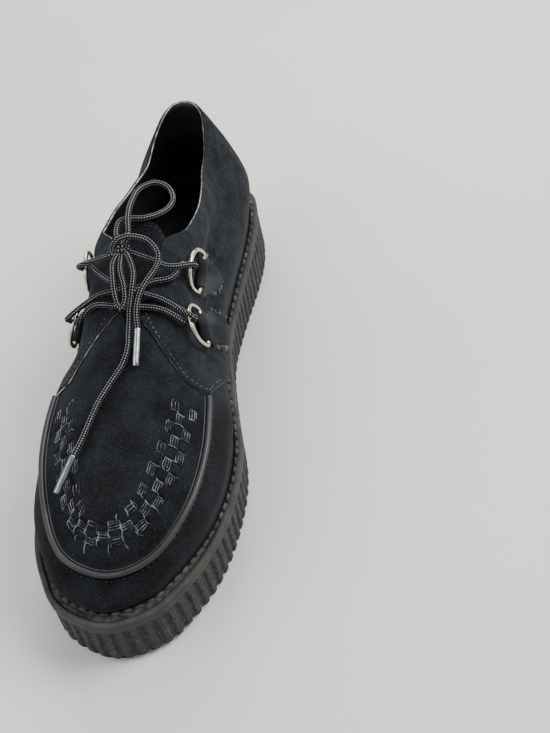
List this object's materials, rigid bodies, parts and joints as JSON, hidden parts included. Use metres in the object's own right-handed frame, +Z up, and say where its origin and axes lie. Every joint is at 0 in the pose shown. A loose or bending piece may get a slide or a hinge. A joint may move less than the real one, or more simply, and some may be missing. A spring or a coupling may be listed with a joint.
{
  "type": "creeper shoe",
  "caption": "Black suede creeper shoe with a thick ribbed rubber sole, a piped and woven apron, and laces through metal rings.",
  "frame": {"origin": "On the floor, under the middle of the bounding box of the shoe", "axes": "+X from heel to toe, +Y to the inner side of the foot, +Z up"},
  "size_m": [0.3014, 0.101, 0.1195],
  "materials": {
    "sole_rubber": "dark grey moulded rubber, matt, with ribbed sides",
    "welt_rubber": "rough dark grey strip with lighter stitches",
    "lining": "smooth black lining leather",
    "suede": "black suede with a short nap",
    "smooth_leather": "smooth black leather with a soft shine",
    "nickel": "pale nickel plate, lightly worn",
    "lace": "braided black cord with light flecks",
    "aglet_metal": "grey crimped metal tip"
  },
  "bodies": {
    "root": {"outsole": "sole_rubber", "welt": "welt_rubber", "insole": "lining", "upper": "suede", "piping": "smooth_leather", "tongue": "suede", "ring_inner_upper": "nickel", "ring_inner_lower": "nickel", "ring_outer_upper": "nickel", "ring_outer_lower": "nickel", "tab_inner_upper": "suede", "tab_inner_lower": "suede", "tab_outer_upper": "suede", "tab_outer_lower": "suede", "lace_crossings": "lace", "lace_knot": "lace", "lace_loop_up": "lace", "lace_loop_down": "lace", "lace_end_short": "lace", "lace_end_long": "lace", "aglet_short": "aglet_metal", "aglet_long": "aglet_metal"}
  },
  "joints": []
}
